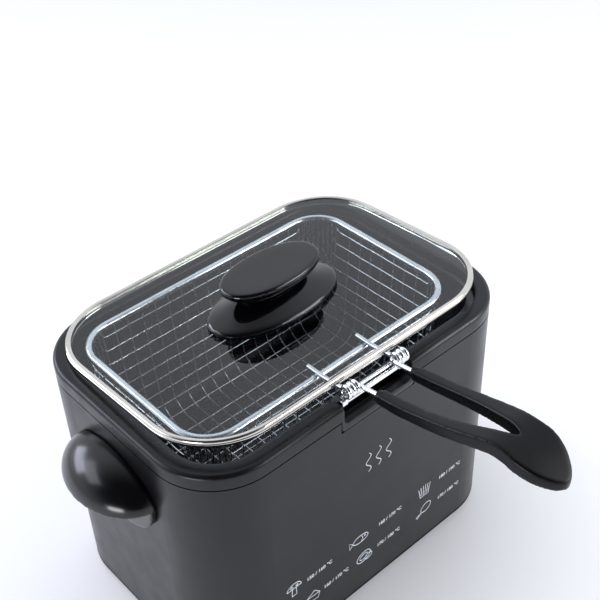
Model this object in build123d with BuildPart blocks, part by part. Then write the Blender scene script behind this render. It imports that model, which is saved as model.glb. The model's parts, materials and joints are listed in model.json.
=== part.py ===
"""Compact household deep fryer with a lift-out wire basket and a glass lid.

Millimetres, +Z up. The origin is at the middle of the body's plan, on the surface it stands on.
The basket handle points along -Y, the controls are on the +X end and the cord gland is at the back.
"""
from build123d import *
import math
import os

os.makedirs("parts", exist_ok=True)

# Body
body_width = 264.0
body_depth = 182.0
body_corner = 45.0
sheet = 1.2
foot_height = 4.0
base_strip = 3.0
seam_z = 177.5
rim_z = 188.5
joint_gap = 0.3

# Rim collar and its handle notch
collar_band = 10.0
collar_ledge = 3.2
ledge_top_z = 182.0
ledge_thick = 2.5
skirt_depth = 9.0
notch_center_x = 1.5
notch_width = 58.0
notch_tab_width = 62.0
notch_floor_z = 174.0
notch_tab_bottom_z = 169.0
notch_tab_depth = 8.0

# Inner pot
pot_wall = 1.2
pot_floor_z = 92.2
pot_width = 234.0
pot_depth = 152.0
pot_corner = 31.0
pot_draft = 3.0

# Heating, between the pot and the base
spreader_size = (176.0, 100.0, 40.0)
spreader_thick = 2.0
element_r = 3.3
element_bend = 11.0
shield_size = (212.0, 126.0, 24.0)
shield_lip = 9.0
shield_post_pitch = (180.0, 90.0)
shield_post_r = 5.0
shield_post_height = 56.0

# Basket
basket_x = -2.8
basket_y = 5.5
basket_width = 216.0
basket_depth = 136.0
basket_corner = 27.0
rim_wire_r = 2.5
rim_wire_z = 188.0
mesh_wire = 1.2
mesh_pitch = 10.8
mesh_floor_z = 94.5
mesh_bend = 17.0
mesh_draft = 7.0

# Basket bracket and folding handle
pivot_y = -89.0
pivot_z = 197.5
bracket_x = 20.5
bracket_wire_r = 1.6
prong_x = 14.5
prong_r = 1.6
prong_slope = 0.15
eye_clearance = 0.08
post_length = 8.5
grip_start_y = -107.0
grip_end_y = -226.0
grip_bore_depth = 16.0

# Lid
lid_x = 1.0
lid_y = 3.5
lid_top_z = 199.0
lid_width = 250.0
lid_depth = 171.0
lid_corner = 48.0
lid_tilt = 3.0
ring_height = 5.0
ring_lip = 3.6
ring_wall = 1.0
glass_thick = 2.8
knob_base_size = (98.0, 54.0)
knob_neck_size = (45.0, 20.0)
knob_disc_size = (74.0, 41.0)

# Side handles, control end and gland
cup_reach = 30.0
cup_half_span = 41.0
cup_rim_z = 140.5
cup_height = 24.0
cup_wall = 3.0
cup_plate_thick = 4.0
cup_plate_drop = 33.0
cup_screw_y = 20.0
cup_screw_drop = 12.0
dial_z = 62.0
dial_r = 21.0
lamp_y = -44.0
gland_x = 88.0
gland_z = 34.0


def finish(part, name):
    """Label one piece and write its STEP file."""
    part.label = name
    export_step(part, f"parts/{name}.step")


def inset(width, depth, corner, amount):
    """Size of a rounded rectangle drawn in by an amount on every side."""
    return width - 2 * amount, depth - 2 * amount, max(corner - amount, 1.0)


# ---------------------------------------------------------------- body shell
body_outline = (body_width, body_depth, body_corner)
post_ring = 38.0 * math.sqrt(0.5)
corner_post_x = body_width / 2 - body_corner + post_ring
corner_post_y = body_depth / 2 - body_corner + post_ring
housing_bottom_z = foot_height + base_strip

with BuildPart() as housing:
    with BuildSketch(Plane.XY.offset(housing_bottom_z)):
        RectangleRounded(*body_outline)
        RectangleRounded(*inset(*body_outline, sheet), mode=Mode.SUBTRACT)
    extrude(amount=seam_z - joint_gap - housing_bottom_z)
    with BuildSketch(Plane.XY.offset(housing_bottom_z)):
        RectangleRounded(*inset(*body_outline, sheet / 2))
        RectangleRounded(*inset(*body_outline, 2.6), mode=Mode.SUBTRACT)
    extrude(amount=sheet)
    # gap in the front's top edge for the collar's notch tab
    with BuildSketch(Plane.XZ.offset(body_depth / 2 - sheet - 1)):
        with Locations((notch_center_x, (notch_tab_bottom_z + seam_z) / 2)):
            Rectangle(notch_tab_width + 2 * joint_gap, seam_z - notch_tab_bottom_z + 2 * joint_gap)
    extrude(amount=sheet + 3, mode=Mode.SUBTRACT)
    # openings for the thermostat shaft, the pilot lamp and the side handles' screws
    with Locations(Plane.YZ.offset(body_width / 2 - sheet - 1)):
        with Locations((0, dial_z)):
            Cylinder(5.0, 8, mode=Mode.SUBTRACT)
        with Locations((lamp_y, dial_z)):
            Cylinder(4.1, 8, mode=Mode.SUBTRACT)
    for side in (-1, 1):
        with Locations(Plane.YZ.offset(side * body_width / 2)):
            with Locations(*[(y, cup_rim_z - cup_screw_drop) for y in (-cup_screw_y, cup_screw_y)]):
                Cylinder(2.3, 8, mode=Mode.SUBTRACT)
    with Locations(Plane.XZ.offset(-body_depth / 2)):
        with Locations((gland_x, gland_z)):
            Cylinder(7.0, 8, mode=Mode.SUBTRACT)
finish(housing.part, "outer_housing")

with BuildPart() as collar:
    with BuildSketch(Plane.XY.offset(seam_z)):
        RectangleRounded(*body_outline)
        RectangleRounded(*inset(*body_outline, collar_band), mode=Mode.SUBTRACT)
    extrude(amount=rim_z - seam_z)
    top_edges = collar.edges().group_by(Axis.Z)[-1]
    chamfer(top_edges, length=1.4)
    # ledge that carries the pot's flange
    with BuildSketch(Plane.XY.offset(ledge_top_z - ledge_thick)):
        RectangleRounded(*inset(*body_outline, collar_band - 0.5))
        RectangleRounded(*inset(*body_outline, collar_band + collar_ledge), mode=Mode.SUBTRACT)
    extrude(amount=ledge_thick)
    # skirt that locates the collar inside the housing
    with BuildSketch(Plane.XY.offset(seam_z - skirt_depth)):
        RectangleRounded(*inset(*body_outline, sheet + joint_gap))
        RectangleRounded(*inset(*body_outline, sheet + joint_gap + 2), mode=Mode.SUBTRACT)
    extrude(amount=skirt_depth)
    # tab below the notch, then the notch itself
    with BuildSketch(Plane.XZ.offset(body_depth / 2 - notch_tab_depth)):
        with Locations((notch_center_x, (notch_tab_bottom_z + seam_z + 1) / 2)):
            Rectangle(notch_tab_width - 2 * joint_gap, seam_z + 1 - notch_tab_bottom_z)
    extrude(amount=notch_tab_depth)
    with BuildSketch(Plane.XZ.offset(body_depth / 2 - collar_band - 0.2)):
        with BuildLine():
            half = notch_width / 2
            Polyline(
                (notch_center_x - half, rim_z + 2),
                (notch_center_x - half, notch_floor_z + 4),
                (notch_center_x - half + 4, notch_floor_z),
                (notch_center_x + half - 4, notch_floor_z),
                (notch_center_x + half, notch_floor_z + 4),
                (notch_center_x + half, rim_z + 2),
                close=True,
            )
        make_face()
    extrude(amount=collar_band + 3, mode=Mode.SUBTRACT)
    # sockets for the tie rods
    with Locations(Plane.XY.offset(seam_z - 10)):
        with GridLocations(2 * corner_post_x, 2 * corner_post_y, 2, 2):
            Cylinder(4.5, 11, align=(Align.CENTER, Align.CENTER, Align.MIN))
            Cylinder(2.0, 8.2, align=(Align.CENTER, Align.CENTER, Align.MIN), mode=Mode.SUBTRACT)
finish(collar.part, "rim_collar")

base_outline = inset(*body_outline, 2.5)
with BuildPart() as base:
    with BuildSketch(Plane.XY.offset(foot_height)):
        RectangleRounded(*base_outline)
    extrude(amount=base_strip - joint_gap)
    with BuildSketch(Plane.XY.offset(foot_height)):
        RectangleRounded(*inset(*body_outline, 10.5))
        RectangleRounded(*inset(*body_outline, 12.5), mode=Mode.SUBTRACT)
    extrude(amount=12)
    # air slots under the body
    with BuildSketch(Plane.XY.offset(foot_height - 1)):
        with GridLocations(14, 0, 9, 1):
            SlotOverall(70, 5, rotation=90)
    extrude(amount=base_strip + 2, mode=Mode.SUBTRACT)
    # posts that the heat shield stands on, and bosses for the tie rods
    with Locations(Plane.XY.offset(foot_height + 1)):
        with GridLocations(*shield_post_pitch, 2, 2):
            Cylinder(shield_post_r, shield_post_height, align=(Align.CENTER, Align.CENTER, Align.MIN))
            Cylinder(1.6, 60, align=(Align.CENTER, Align.CENTER, Align.MIN), mode=Mode.SUBTRACT)
        with GridLocations(2 * corner_post_x, 2 * corner_post_y, 2, 2):
            Cylinder(4.0, 14, align=(Align.CENTER, Align.CENTER, Align.MIN))
            Cylinder(2.2, 40, mode=Mode.SUBTRACT)
finish(base.part, "base_plate")

foot_x = corner_post_x - 16
foot_y = corner_post_y - 10
with BuildPart() as feet:
    with GridLocations(2 * foot_x, 2 * foot_y, 2, 2):
        Cone(8, 9, foot_height, align=(Align.CENTER, Align.CENTER, Align.MIN))
finish(feet.part, "rubber_feet")

tie_rod_bottom = foot_height + base_strip + 8
with BuildPart() as tie_rods:
    with Locations(Plane.XY.offset(tie_rod_bottom)):
        with GridLocations(2 * corner_post_x, 2 * corner_post_y, 2, 2):
            Cylinder(1.98, seam_z - 2 - tie_rod_bottom, align=(Align.CENTER, Align.CENTER, Align.MIN))
            Cylinder(1.2, 10, align=(Align.CENTER, Align.CENTER, Align.MIN), mode=Mode.SUBTRACT)
finish(tie_rods.part, "tie_rods")

with BuildPart() as base_screws:
    with Locations(Plane.XY.offset(foot_height - 2.2)):
        with GridLocations(2 * corner_post_x, 2 * corner_post_y, 2, 2):
            Cylinder(3.6, 2.1, align=(Align.CENTER, Align.CENTER, Align.MIN))
            Cylinder(1.15, 22, align=(Align.CENTER, Align.CENTER, Align.MIN))
    with Locations(Plane.XY.offset(foot_height - 2.2)):
        with GridLocations(2 * corner_post_x, 2 * corner_post_y, 2, 2):
            Box(4.6, 0.9, 1.6, mode=Mode.SUBTRACT)
            Box(0.9, 4.6, 1.6, mode=Mode.SUBTRACT)
finish(base_screws.part, "base_screws")

# ---------------------------------------------------------------- pot and heating
pot_outline = (pot_width, pot_depth, pot_corner)
with BuildPart() as pot:
    # outside skin tapers to the floor
    with BuildSketch(Plane.XY.offset(pot_floor_z - pot_wall)):
        RectangleRounded(*inset(*pot_outline, pot_draft - pot_wall))
    with BuildSketch(Plane.XY.offset(ledge_top_z)):
        RectangleRounded(*inset(*pot_outline, -pot_wall))
    loft()
    fillet(pot.edges().group_by(Axis.Z)[0], radius=12)
    with BuildSketch(Plane.XY.offset(ledge_top_z)):
        RectangleRounded(*inset(*body_outline, collar_band + 0.6))
    extrude(amount=pot_wall)
    with BuildPart(mode=Mode.PRIVATE) as hollow:
        with BuildSketch(Plane.XY.offset(pot_floor_z)):
            RectangleRounded(*inset(*pot_outline, pot_draft))
        with BuildSketch(Plane.XY.offset(ledge_top_z + pot_wall)):
            RectangleRounded(*pot_outline)
        loft()
        fillet(hollow.edges().group_by(Axis.Z)[0], radius=12 - pot_wall)
    add(hollow.part, mode=Mode.SUBTRACT)
finish(pot.part, "inner_pot")

spreader_top = pot_floor_z - pot_wall - 0.1
with BuildPart() as spreader:
    with BuildSketch(Plane.XY.offset(spreader_top - spreader_thick)):
        RectangleRounded(*spreader_size)
    extrude(amount=spreader_thick)
finish(spreader.part, "heat_spreader")

element_z = spreader_top - spreader_thick - 0.1 - element_r
with BuildPart() as element:
    with BuildLine() as element_path:
        FilletPolyline(
            (92, -12, element_z - 24),
            (92, -12, element_z),
            (60, -12, element_z),
            (60, -38, element_z),
            (-72, -38, element_z),
            (-72, 38, element_z),
            (60, 38, element_z),
            (60, 12, element_z),
            (92, 12, element_z),
            (92, 12, element_z - 24),
            radius=element_bend,
        )
    with BuildSketch(Plane(origin=element_path.line @ 0, z_dir=element_path.line % 0)):
        Circle(element_r)
    sweep()
finish(element.part, "heating_element")

clamp_z = element_z - element_r - 0.1
with BuildPart() as clamp:
    with BuildSketch(Plane.XY.offset(clamp_z - 2)):
        RectangleRounded(16, 96, 3)
    extrude(amount=2)
    with BuildSketch(Plane.XY.offset(clamp_z)):
        with GridLocations(0, 52, 1, 2):
            Circle(4)
    extrude(amount=spreader_top - spreader_thick - 0.1 - clamp_z)
finish(clamp.part, "element_clamp")

shield_z = foot_height + 1 + shield_post_height + 0.1
with BuildPart() as shield:
    with BuildSketch(Plane.XY.offset(shield_z)):
        RectangleRounded(*shield_size)
    extrude(amount=shield_lip)
    with BuildSketch(Plane.XY.offset(shield_z + 0.8)):
        RectangleRounded(*inset(*shield_size, 0.8))
    extrude(amount=shield_lip, mode=Mode.SUBTRACT)
    with BuildSketch(Plane.XY.offset(shield_z - 1)):
        with GridLocations(*shield_post_pitch, 2, 2):
            Circle(1.7)
        with Locations((92, 0)):
            RectangleRounded(14, 36, 3)
    extrude(amount=4, mode=Mode.SUBTRACT)
finish(shield.part, "heat_shield")

with BuildPart() as shield_screws:
    with Locations(Plane.XY.offset(shield_z + 0.9)):
        with GridLocations(*shield_post_pitch, 2, 2):
            Cylinder(3.2, 2, align=(Align.CENTER, Align.CENTER, Align.MIN))
            Cylinder(1.55, 12, align=(Align.CENTER, Align.CENTER, Align.MAX))
finish(shield_screws.part, "shield_screws")

with BuildPart() as cutout:
    with Locations((-40, 0, spreader_top - spreader_thick - 0.1)):
        Cylinder(9, 7, align=(Align.CENTER, Align.CENTER, Align.MAX))
        with GridLocations(8, 0, 2, 1):
            Box(0.8, 5, 15, align=(Align.CENTER, Align.CENTER, Align.MAX))
finish(cutout.part, "thermal_cutout")

with BuildPart() as sensor:
    with BuildLine() as bulb_path:
        FilletPolyline(
            (20, 12, element_z),
            (44, 12, element_z),
            (44, 0, element_z),
            (92, 0, element_z),
            (92, 0, dial_z + 17.2),
            (110, 0, dial_z + 17.2),
            radius=4,
        )
    with BuildSketch(Plane(origin=bulb_path.line @ 0, z_dir=bulb_path.line % 0)):
        Circle(0.9)
    sweep()
    with Locations(Location((-6, 12, element_z), (0, 90, 0))):
        Cylinder(2.6, 54)
finish(sensor.part, "thermostat_sensor")

# ---------------------------------------------------------------- controls on the +X end
wall_inner_x = body_width / 2 - sheet
end_face_x = body_width / 2
with BuildPart() as thermostat:
    with Locations((wall_inner_x - 0.2, 0, dial_z)):
        Box(24, 32, 32, align=(Align.MAX, Align.CENTER, Align.CENTER))
    with Locations(Location((wall_inner_x - 10, 0, dial_z), (0, 90, 0))):
        Cylinder(3.05, 30, mode=Mode.SUBTRACT)
finish(thermostat.part, "thermostat_body")

with BuildPart() as shaft:
    with Locations(Location((wall_inner_x - 20, 0, dial_z), (0, 90, 0))):
        Cylinder(3.0, end_face_x + 13 - wall_inner_x + 20, align=(Align.CENTER, Align.CENTER, Align.MIN))
finish(shaft.part, "thermostat_shaft")

with BuildPart() as dial:
    with Locations(Location((end_face_x + 3.2, 0, dial_z), (0, 90, 0))):
        Cylinder(dial_r, 3, align=(Align.CENTER, Align.CENTER, Align.MIN))
        Cylinder(dial_r - 4, 14, align=(Align.CENTER, Align.CENTER, Align.MIN))
    with Locations((end_face_x + 3.2, 0, dial_z)):
        Box(16, 2 * (dial_r - 4), 7, align=(Align.MIN, Align.CENTER, Align.CENTER))
    with Locations(Location((end_face_x + 3, 0, dial_z), (0, 90, 0))):
        Cylinder(3.02, 10.4, align=(Align.CENTER, Align.CENTER, Align.MIN), mode=Mode.SUBTRACT)
finish(dial.part, "thermostat_dial")

with BuildPart() as bezel:
    with BuildSketch(Plane.YZ.offset(end_face_x + 0.1)):
        with Locations((0, dial_z)):
            Circle(30)
        with Locations((lamp_y / 2, dial_z)):
            Rectangle(-lamp_y, 18)
        with Locations((lamp_y, dial_z)):
            Circle(9)
        with Locations((0, dial_z)):
            Circle(5, mode=Mode.SUBTRACT)
        with Locations((lamp_y, dial_z)):
            Circle(4.1, mode=Mode.SUBTRACT)
    extrude(amount=2.2)
finish(bezel.part, "dial_bezel")

with BuildPart() as lamp_body:
    with Locations(Location((wall_inner_x - 0.3, lamp_y, dial_z), (0, -90, 0))):
        Cylinder(6, 5, align=(Align.CENTER, Align.CENTER, Align.MIN))
        Cylinder(4.5, 20, align=(Align.CENTER, Align.CENTER, Align.MIN))
finish(lamp_body.part, "pilot_lamp_body")

with BuildPart() as lamp_lens:
    with Locations(Location((wall_inner_x - 0.2, lamp_y, dial_z), (0, 90, 0))):
        Cylinder(4.0, 5.0, align=(Align.CENTER, Align.CENTER, Align.MIN))
    fillet(lamp_lens.edges().sort_by(Axis.X)[-1], radius=1.4)
finish(lamp_lens.part, "pilot_lamp_lens")

block_z = foot_height + base_strip
with BuildPart() as terminal_block:
    with Locations((gland_x - 36, body_depth / 2 - 30, block_z)):
        Box(44, 16, 14, align=(Align.CENTER, Align.CENTER, Align.MIN))
        with GridLocations(14, 0, 3, 1):
            Cylinder(2.4, 30, mode=Mode.SUBTRACT)
finish(terminal_block.part, "terminal_block")

with BuildPart() as gland:
    with Locations(Location((gland_x, body_depth / 2 + 0.1, gland_z), (-90, 0, 0))):
        Cylinder(10, 3, align=(Align.CENTER, Align.CENTER, Align.MIN))
        Cylinder(6.9, 11, align=(Align.CENTER, Align.CENTER, Align.MAX))
        Cylinder(3.6, 40, mode=Mode.SUBTRACT)
finish(gland.part, "cord_gland")

# ---------------------------------------------------------------- side handles


def side_handle(side):
    """Domed finger cup over a rounded back plate; side is -1 for the left end, +1 for the right."""
    with BuildPart() as cup:
        for half_span, height, mode in (
            (cup_half_span, cup_height, Mode.ADD),
            (cup_half_span - cup_wall, cup_height - cup_wall, Mode.SUBTRACT),
        ):
            with BuildSketch(Plane.XZ):
                with BuildLine():
                    EllipticalCenterArc((0, 0), half_span, height, start_angle=0, arc_size=90)
                    Polyline((0, height), (0, 0), (half_span, 0))
                make_face()
            revolve(axis=Axis.Z, mode=mode)
        with Locations((0, 0, cup_height / 2)):
            Box(3 * cup_half_span, 2 * cup_half_span, 2 * cup_height,
                align=(Align.CENTER, Align.MIN, Align.CENTER), mode=Mode.INTERSECT)
        scale(by=(1, cup_reach / cup_half_span, 1))
        # back plate against the body, closed behind the dome and rounded below it
        with BuildSketch(Plane.XZ.offset(-cup_plate_thick)):
            with BuildLine():
                EllipticalCenterArc((0, 0), cup_half_span - 1, cup_height - 1, arc_size=180)
                EllipticalCenterArc((0, 0), cup_half_span - 1, cup_plate_drop, 180, arc_size=180)
            make_face()
        extrude(amount=cup_plate_thick)
        with Locations(Plane.XZ):
            with Locations((-cup_screw_y, -cup_screw_drop), (cup_screw_y, -cup_screw_drop)):
                Cylinder(1.9, 6, mode=Mode.SUBTRACT)
    turn = -90 if side > 0 else 90
    place = Location((side * (body_width / 2 + 0.1), 0, cup_rim_z), (0, 0, turn))
    return cup.part.moved(place)


for side, name in ((-1, "left_side_handle"), (1, "right_side_handle")):
    finish(side_handle(side), name)

for side, name in ((-1, "left_handle_screws"), (1, "right_handle_screws")):
    with BuildPart() as handle_screws:
        for y in (-cup_screw_y, cup_screw_y):
            with Locations(Location((side * (wall_inner_x - 0.1), y, cup_rim_z - cup_screw_drop),
                                    (0, side * 90, 0))):
                Cylinder(3.4, 2.2, align=(Align.CENTER, Align.CENTER, Align.MAX))
                Cylinder(1.85, 3.6, align=(Align.CENTER, Align.CENTER, Align.MIN))
    finish(handle_screws.part, name)

# ---------------------------------------------------------------- basket
basket_outline = (basket_width, basket_depth, basket_corner)
run_x = basket_width / 2 - basket_corner
run_y = basket_depth / 2 - basket_corner
wire_line_r = basket_corner - rim_wire_r
with BuildPart() as rim_wire:
    for angle, (run, reach) in enumerate(((run_x, run_y), (run_y, run_x)) * 2):
        side_plane = Plane(origin=(basket_x, basket_y, rim_wire_z)).rotated((0, 0, 90 * angle))
        # straight run, then the corner that follows it
        with BuildSketch(Plane(origin=side_plane.from_local_coords((-run, -reach - wire_line_r, 0)),
                               z_dir=side_plane.x_dir)):
            Circle(rim_wire_r)
        extrude(amount=2 * run)
        with BuildSketch(Plane(origin=side_plane.from_local_coords((run, -reach - wire_line_r, 0)),
                               z_dir=side_plane.x_dir)):
            Circle(rim_wire_r)
        corner = side_plane.from_local_coords((run, -reach, 0))
        revolve(axis=Axis(corner, (0, 0, 1)), revolution_arc=90)
finish(rim_wire.part, "basket_rim_wire")


def grid_panel(plane, width, height):
    """One flat field of square wire mesh, its outside face on the plane."""
    columns = max(int(width // mesh_pitch), 1)
    rows = max(int(height // mesh_pitch), 1)
    pitch_x = (width - mesh_wire) / columns
    pitch_y = (height - mesh_wire) / rows
    with BuildPart() as panel:
        with BuildSketch(plane):
            Rectangle(width, height)
            with GridLocations(pitch_x, pitch_y, columns, rows):
                Rectangle(pitch_x - mesh_wire, pitch_y - mesh_wire, mode=Mode.SUBTRACT)
        extrude(amount=-mesh_wire)
    return panel.part


def slanted_panel(top, bottom, along, width):
    """Mesh field between two points of the wall's section, centred on them."""
    up = Vector(*top) - Vector(*bottom)
    across = Vector(*along)
    plane = Plane(
        origin=(Vector(*top) + Vector(*bottom)) * 0.5,
        x_dir=across,
        z_dir=across.cross(up),
    )
    return grid_panel(plane, width, up.length)


wall_top_z = rim_wire_z - rim_wire_r - 0.5
wall_low_z = mesh_floor_z + mesh_bend
mesh_top = inset(*basket_outline, 1.2)
mesh_low = inset(*basket_outline, 1.2 + mesh_draft)
mesh_floor = inset(*basket_outline, 1.2 + mesh_draft + mesh_bend)
corner_gap = 1.6
mesh_panels = []
for angle in (0, 90, 180, 270):
    turn = Rotation(0, 0, angle)
    flip = angle % 180 == 90
    half_top = mesh_top[0 if flip else 1] / 2
    half_low = mesh_low[0 if flip else 1] / 2
    half_floor = mesh_floor[0 if flip else 1] / 2
    span = (basket_depth if flip else basket_width) - 2 * basket_corner - corner_gap
    for top, bottom in (
        ((0, -half_top, wall_top_z), (0, -half_low, wall_low_z + 0.8)),
        ((0, -half_low, wall_low_z - 0.8), (0, -half_floor - 1.0, mesh_floor_z + 1.4)),
    ):
        mesh_panels.append(turn * slanted_panel(top, bottom, (1, 0, 0), span))
for sign_x, sign_y in ((1, 1), (-1, 1), (-1, -1), (1, -1)):
    outward = Vector(sign_x, sign_y, 0).normalized()
    along = Vector(-sign_y, sign_x, 0).normalized()
    corner_x = sign_x * (basket_width / 2 - basket_corner)
    corner_y = sign_y * (basket_depth / 2 - basket_corner)
    top_r = basket_corner - 1.2 - 3.0
    top = Vector(corner_x, corner_y, wall_top_z) + outward * top_r
    bottom = Vector(corner_x, corner_y, wall_low_z + 0.8) + outward * (top_r - mesh_draft)
    mesh_panels.append(slanted_panel(tuple(top), tuple(bottom), tuple(along), 25.0))
floor_plane = Plane(origin=(0, 0, mesh_floor_z + mesh_wire))
mesh_panels.append(grid_panel(floor_plane, mesh_floor[0] - 3, mesh_floor[1] - 3))
place = Location((basket_x, basket_y, 0))
finish(Compound(children=[panel.moved(place) for panel in mesh_panels]), "basket_mesh")

stub_top_z = rim_wire_z + rim_wire_r + bracket_wire_r + 0.02
eye_r = prong_r + eye_clearance
eye_line_r = eye_r + bracket_wire_r
stub_end = (pivot_y + 0.63 * eye_line_r, pivot_z - 0.81 * eye_line_r)
post_y = pivot_y + 0.94 * eye_line_r
post_top_z = pivot_z - 0.78 * eye_line_r
crossbar_z = post_top_z - post_length
with BuildPart() as bracket:
    for side in (-1, 1):
        x = side * bracket_x
        with BuildLine(mode=Mode.PRIVATE) as stub_line:
            FilletPolyline(
                (x, basket_y - basket_depth / 2 + 10, stub_top_z),
                (x, basket_y - basket_depth / 2 - 4, stub_top_z),
                (x, *stub_end),
                radius=6,
            )
        with BuildSketch(Plane(origin=stub_line.line @ 0, z_dir=stub_line.line % 0)):
            Circle(bracket_wire_r)
        sweep(path=stub_line.line)
        with Locations(Location((x, pivot_y, pivot_z), (0, 90, 0))):
            Torus(eye_line_r, bracket_wire_r)
        with Locations((x, post_y, post_top_z)):
            Cylinder(bracket_wire_r, post_length, align=(Align.CENTER, Align.CENTER, Align.MAX))
    with Locations(Location((0, post_y, crossbar_z), (0, 90, 0))):
        Cylinder(bracket_wire_r, 2 * bracket_x + 8)
    # beads on the crossbar's ends
    for side in (-1, 1):
        with Locations(Location((side * (bracket_x + 3), post_y, crossbar_z), (0, 90, 0))):
            Cylinder(bracket_wire_r + 0.6, 4)
finish(bracket.part, "basket_bracket")

# ---------------------------------------------------------------- folding handle
# centreline height over the pivot and thickness of the grip along its length
grip_profile = (
    (grip_start_y, 2.7, 7.4),
    (-129.0, 6.2, 8.0),
    (-150.0, 11.0, 8.6),
    (-176.0, 18.4, 9.2),
    (-190.0, 21.4, 9.6),
    (-200.0, 20.6, 9.4),
    (-212.0, 17.4, 8.8),
    (grip_end_y, 12.6, 6.6),
)
prong_end_y = grip_start_y - grip_bore_depth + 1
prong_end = (prong_end_y, pivot_z + prong_slope * (pivot_y - prong_end_y))
with BuildPart() as prongs:
    for side in (-1, 1):
        with BuildLine(mode=Mode.PRIVATE) as prong_line:
            FilletPolyline(
                (side * (bracket_x + 5), pivot_y, pivot_z),
                (side * prong_x, pivot_y, pivot_z),
                (side * prong_x, *prong_end),
                radius=3,
            )
        with BuildSketch(Plane(origin=prong_line.line @ 0, z_dir=prong_line.line % 0)):
            Circle(prong_r)
        sweep(path=prong_line.line)
finish(prongs.part, "handle_prongs")

with BuildPart() as grip:
    # plan outline: two slim legs that join in a rounded paddle
    outer = ((18.4, grip_start_y), (18.6, -129), (18.2, -150), (17.6, -168), (16.4, -182), (15.9, -194),
             (16.3, -202), (14.0, -212), (9.5, -219.5), (0, grip_end_y))
    inner = ((10.6, grip_start_y), (10.5, -129), (9.8, -150), (7.4, -168), (4.6, -182), (2.6, -189),
             (0, -193))
    with BuildSketch(Plane.XY.offset(pivot_z - 20)):
        with BuildLine():
            Spline(*outer, *[(-x, y) for x, y in reversed(outer[:-1])])
            Line((-outer[0][0], grip_start_y), (-inner[0][0], grip_start_y))
            Spline(*[(-x, y) for x, y in inner[:-1]], *reversed(inner))
            Line((inner[0][0], grip_start_y), (outer[0][0], grip_start_y))
        make_face()
    extrude(amount=60)
    # side profile: legs that rise, then a paddle that curves down
    with BuildSketch(Plane.YZ.offset(-30)):
        with BuildLine():
            upper = [(y, pivot_z + height + thick / 2) for y, height, thick in grip_profile]
            lower = [(y, pivot_z + height - thick / 2) for y, height, thick in grip_profile]
            Spline(*upper)
            Line(upper[-1], lower[-1])
            Spline(*reversed(lower))
            Line(lower[0], upper[0])
        make_face()
    extrude(amount=60, mode=Mode.INTERSECT)
    for side in (-1, 1):
        with BuildLine(mode=Mode.PRIVATE) as bore_line:
            Line((side * prong_x, pivot_y, pivot_z),
                 (side * prong_x, prong_end_y - 1, prong_end[1] + prong_slope))
        with BuildSketch(Plane(origin=bore_line.line @ 0, z_dir=bore_line.line % 0)):
            Circle(prong_r + 0.05)
        sweep(path=bore_line.line, mode=Mode.SUBTRACT)
finish(grip.part, "handle_grip")

# ---------------------------------------------------------------- lid
lid_outline = (lid_width, lid_depth, lid_corner)
lid_plane = Plane(origin=(lid_x, lid_y, lid_top_z)).rotated((-lid_tilt, 0, 0))
with BuildPart() as lid_ring:
    with BuildSketch(lid_plane.offset(-ring_height)):
        RectangleRounded(*lid_outline)
        RectangleRounded(*inset(*lid_outline, ring_lip), mode=Mode.SUBTRACT)
    extrude(amount=ring_height)
    with BuildSketch(lid_plane.offset(-ring_wall - glass_thick - 0.1)):
        RectangleRounded(*inset(*lid_outline, ring_wall))
        RectangleRounded(*inset(*lid_outline, ring_lip + 2), mode=Mode.SUBTRACT)
    extrude(amount=glass_thick + 0.1, mode=Mode.SUBTRACT)
finish(lid_ring.part, "lid_ring")

glass_top = -ring_wall - 0.05
with BuildPart() as glass:
    with BuildSketch(lid_plane.offset(glass_top - glass_thick)):
        RectangleRounded(*inset(*lid_outline, ring_wall + 0.1))
        Circle(3.2, mode=Mode.SUBTRACT)
    extrude(amount=glass_thick)
finish(glass.part, "lid_glass")

base_h = 12.5
with BuildPart() as knob_base:
    with BuildSketch(lid_plane.offset(glass_top + 0.05)):
        Ellipse(knob_base_size[0] / 2, knob_base_size[1] / 2)
    extrude(amount=4.5)
    for height, grow in ((4.5, 0.96), (9.0, 0.78), (base_h, 0.0)):
        with BuildSketch(lid_plane.offset(glass_top + 0.05 + height)):
            if grow:
                Ellipse(knob_base_size[0] / 2 * grow, knob_base_size[1] / 2 * grow)
            else:
                Ellipse(knob_neck_size[0] / 2 + 2, knob_neck_size[1] / 2 + 2)
    loft()
    with BuildSketch(lid_plane.offset(glass_top)):
        Circle(2.55)
    extrude(amount=9, mode=Mode.SUBTRACT)
finish(knob_base.part, "lid_knob_base")

cap_bottom = glass_top + 0.15 + base_h
with BuildPart() as knob_cap:
    with BuildSketch(lid_plane.offset(cap_bottom)):
        Ellipse(knob_neck_size[0] / 2, knob_neck_size[1] / 2)
    extrude(amount=9)
    with BuildSketch(lid_plane.offset(cap_bottom + 8)):
        Ellipse(knob_disc_size[0] / 2, knob_disc_size[1] / 2)
    extrude(amount=6.5)
    fillet(knob_cap.edges().sort_by(Axis.Z)[-1], radius=1.6)
finish(knob_cap.part, "lid_knob_cap")

with BuildPart() as washer:
    with BuildSketch(lid_plane.offset(glass_top - glass_thick - 1.3)):
        Circle(7)
        Circle(2.6, mode=Mode.SUBTRACT)
    extrude(amount=1.2)
finish(washer.part, "knob_washer")

with BuildPart() as knob_screw:
    with BuildSketch(lid_plane.offset(glass_top - glass_thick - 4.2)):
        Circle(4.4)
    extrude(amount=2.8)
    with BuildSketch(lid_plane.offset(glass_top - glass_thick - 1.5)):
        Circle(2.5)
    extrude(amount=glass_thick + 9)
    with BuildSketch(lid_plane.offset(glass_top - glass_thick - 4.3)):
        Rectangle(6, 1.1)
        Rectangle(1.1, 6)
    extrude(amount=1.6, mode=Mode.SUBTRACT)
finish(knob_screw.part, "knob_screw")
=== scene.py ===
"""Looks of the compact deep fryer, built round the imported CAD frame.

Metres, +Z up, the basket handle towards -Y.
"""
import json
import math

import bmesh
import bpy
from mathutils import Matrix, Vector


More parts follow.
